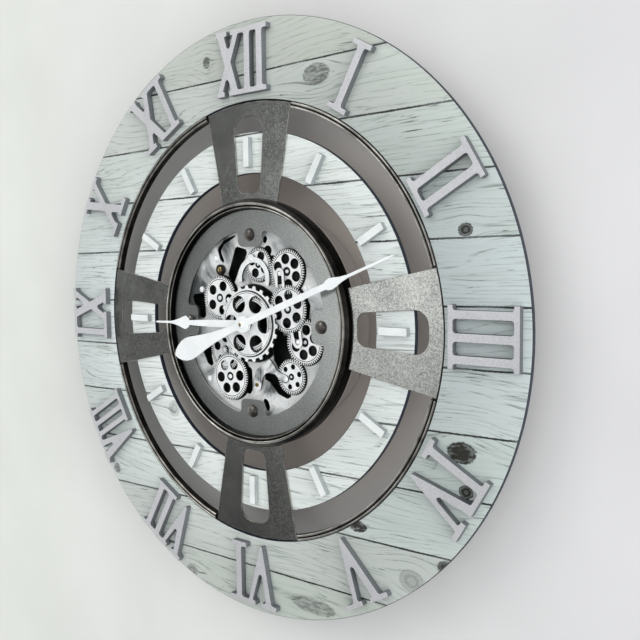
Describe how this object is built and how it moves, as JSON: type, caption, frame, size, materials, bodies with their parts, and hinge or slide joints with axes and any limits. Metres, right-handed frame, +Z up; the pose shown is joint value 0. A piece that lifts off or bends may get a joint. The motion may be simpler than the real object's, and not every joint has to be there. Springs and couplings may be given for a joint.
{
  "type": "wall clock",
  "caption": "Round open-frame wall clock with Roman numerals on a plank-look ring, slotted metal bridges and a train of turning gears behind white hands.",
  "frame": {"origin": "on the wall, at the axis of the hands: the back face of the back cover", "axes": "+Y points from the clock into the wall, so the dial faces -Y; +Z points up to XII; +X points to III"},
  "size_m": [0.6, 0.067, 0.6],
  "materials": {
    "ring_board": "whitewashed plank print on board, matt",
    "rim_metal": "warm pewter, glossy",
    "pewter_plate": "hammered pewter, satin",
    "numeral_paint": "pale grey paint with darker sides",
    "white_paint": "white paint, satin",
    "gear_silver": "silver plated, glossy",
    "plate_silver": "silver, brushed",
    "black_case": "black paint, satin",
    "black_plastic": "moulded black",
    "battery_wrap": "plain wrap, no print",
    "brass": "satin"
  },
  "bodies": {
    "frame": {"outer_ring_board": "ring_board", "inner_ring_board": "ring_board", "outer_rim": "rim_metal", "bezel": "rim_metal", "mask_rivet_12": "rim_metal", "mask_rivet_3": "rim_metal", "mask_rivet_6": "rim_metal", "mask_rivet_9": "rim_metal", "bridge_plate_12": "pewter_plate", "bridge_plate_3": "pewter_plate", "bridge_plate_6": "pewter_plate", "bridge_plate_9": "pewter_plate", "mask_ring": "pewter_plate", "numeral_1": "numeral_paint", "numeral_2": "numeral_paint", "numeral_3": "numeral_paint", "numeral_4": "numeral_paint", "numeral_5": "numeral_paint", "numeral_6": "numeral_paint", "numeral_7": "numeral_paint", "numeral_8": "numeral_paint", "numeral_9": "numeral_paint", "numeral_10": "numeral_paint", "numeral_11": "numeral_paint", "numeral_12": "numeral_paint", "index_bar_1": "white_paint", "index_bar_2": "white_paint", "index_bar_3": "white_paint", "index_bar_4": "white_paint", "index_bar_5": "white_paint", "index_bar_6": "white_paint", "index_bar_7": "white_paint", "index_bar_8": "white_paint", "index_bar_9": "white_paint", "index_bar_10": "white_paint", "index_bar_11": "white_paint", "index_bar_12": "white_paint", "arch_bracket": "gear_silver", "gear_plate": "plate_silver", "s_lever": "plate_silver", "gear_case": "black_case", "back_cover": "black_case", "quartz_movement": "black_plastic", "gear_motor": "black_plastic", "clock_battery": "battery_wrap", "gear_battery": "battery_wrap"},
    "minute": {"minute_hand": "white_paint", "hand_nut": "brass"},
    "hour": {"hour_hand": "white_paint"},
    "knob": {"setting_knob": "black_plastic"},
    "centre": {"centre_gear": "gear_silver"},
    "left": {"left_gear": "gear_silver"},
    "right": {"right_gear": "gear_silver"},
    "idler": {"idler_gear": "gear_silver"},
    "lower_left": {"lower_left_gear": "gear_silver"},
    "upper_right": {"upper_right_gear": "gear_silver"},
    "lower_right": {"lower_right_gear": "gear_silver"},
    "small": {"small_gear": "gear_silver"},
    "top": {"top_gear": "gear_silver"},
    "door": {"battery_door": "black_plastic"}
  },
  "joints": [
    {"name": "minute_turn", "type": "hinge", "parent": "frame", "child": "minute", "pos_m": [0, -0.05, 0], "axis": [0, 1, 0], "continuous": true},
    {"name": "hour_turn", "type": "hinge", "parent": "frame", "child": "hour", "pos_m": [0, -0.05, 0], "axis": [0, 1, 0], "continuous": true},
    {"name": "knob_turn", "type": "hinge", "parent": "frame", "child": "knob", "pos_m": [0.01, -0.05, 0.012], "axis": [0, 1, 0], "continuous": true},
    {"name": "centre_turn", "type": "hinge", "parent": "frame", "child": "centre", "pos_m": [0, -0.05, 0], "axis": [0, 1, 0], "continuous": true},
    {"name": "left_turn", "type": "hinge", "parent": "frame", "child": "left", "pos_m": [-0.04413, -0.05, 0.02517], "axis": [0, 1, 0], "continuous": true},
    {"name": "right_turn", "type": "hinge", "parent": "frame", "child": "right", "pos_m": [0.04864, -0.05, 0.01599], "axis": [0, 1, 0], "continuous": true},
    {"name": "idler_turn", "type": "hinge", "parent": "frame", "child": "idler", "pos_m": [-0.0395, -0.05, -0.02933], "axis": [0, 1, 0], "continuous": true},
    {"name": "lower_left_turn", "type": "hinge", "parent": "frame", "child": "lower_left", "pos_m": [-0.03129, -0.05, -0.05652], "axis": [0, 1, 0], "continuous": true},
    {"name": "upper_right_turn", "type": "hinge", "parent": "frame", "child": "upper_right", "pos_m": [0.04646, -0.05, 0.05273], "axis": [0, 1, 0], "continuous": true},
    {"name": "lower_right_turn", "type": "hinge", "parent": "frame", "child": "lower_right", "pos_m": [0.06802, -0.05, -0.01576], "axis": [0, 1, 0], "continuous": true},
    {"name": "small_turn", "type": "hinge", "parent": "frame", "child": "small", "pos_m": [0.05053, -0.05, -0.05084], "axis": [0, 1, 0], "continuous": true},
    {"name": "top_turn", "type": "hinge", "parent": "frame", "child": "top", "pos_m": [0.0087, -0.05, 0.05972], "axis": [0, 1, 0], "continuous": true},
    {"name": "door_slide", "type": "slide", "parent": "frame", "child": "door", "axis": [0, 1, 0], "range_m": [0, 0.03]}
  ],
  "couplings": [
    {"joint": "hour_turn", "follows": "minute_turn", "ratio": 0.083333},
    {"joint": "knob_turn", "follows": "minute_turn", "ratio": -1},
    {"joint": "left_turn", "follows": "centre_turn", "ratio": -1.2281},
    {"joint": "right_turn", "follows": "centre_turn", "ratio": -1.2069},
    {"joint": "idler_turn", "follows": "centre_turn", "ratio": -1.3208},
    {"joint": "lower_left_turn", "follows": "centre_turn", "ratio": 0.21652},
    {"joint": "upper_right_turn", "follows": "centre_turn", "ratio": 0.8493},
    {"joint": "lower_right_turn", "follows": "centre_turn", "ratio": 0.83386},
    {"joint": "small_turn", "follows": "centre_turn", "ratio": -1.0666},
    {"joint": "top_turn", "follows": "centre_turn", "ratio": -1.092}
  ]
}
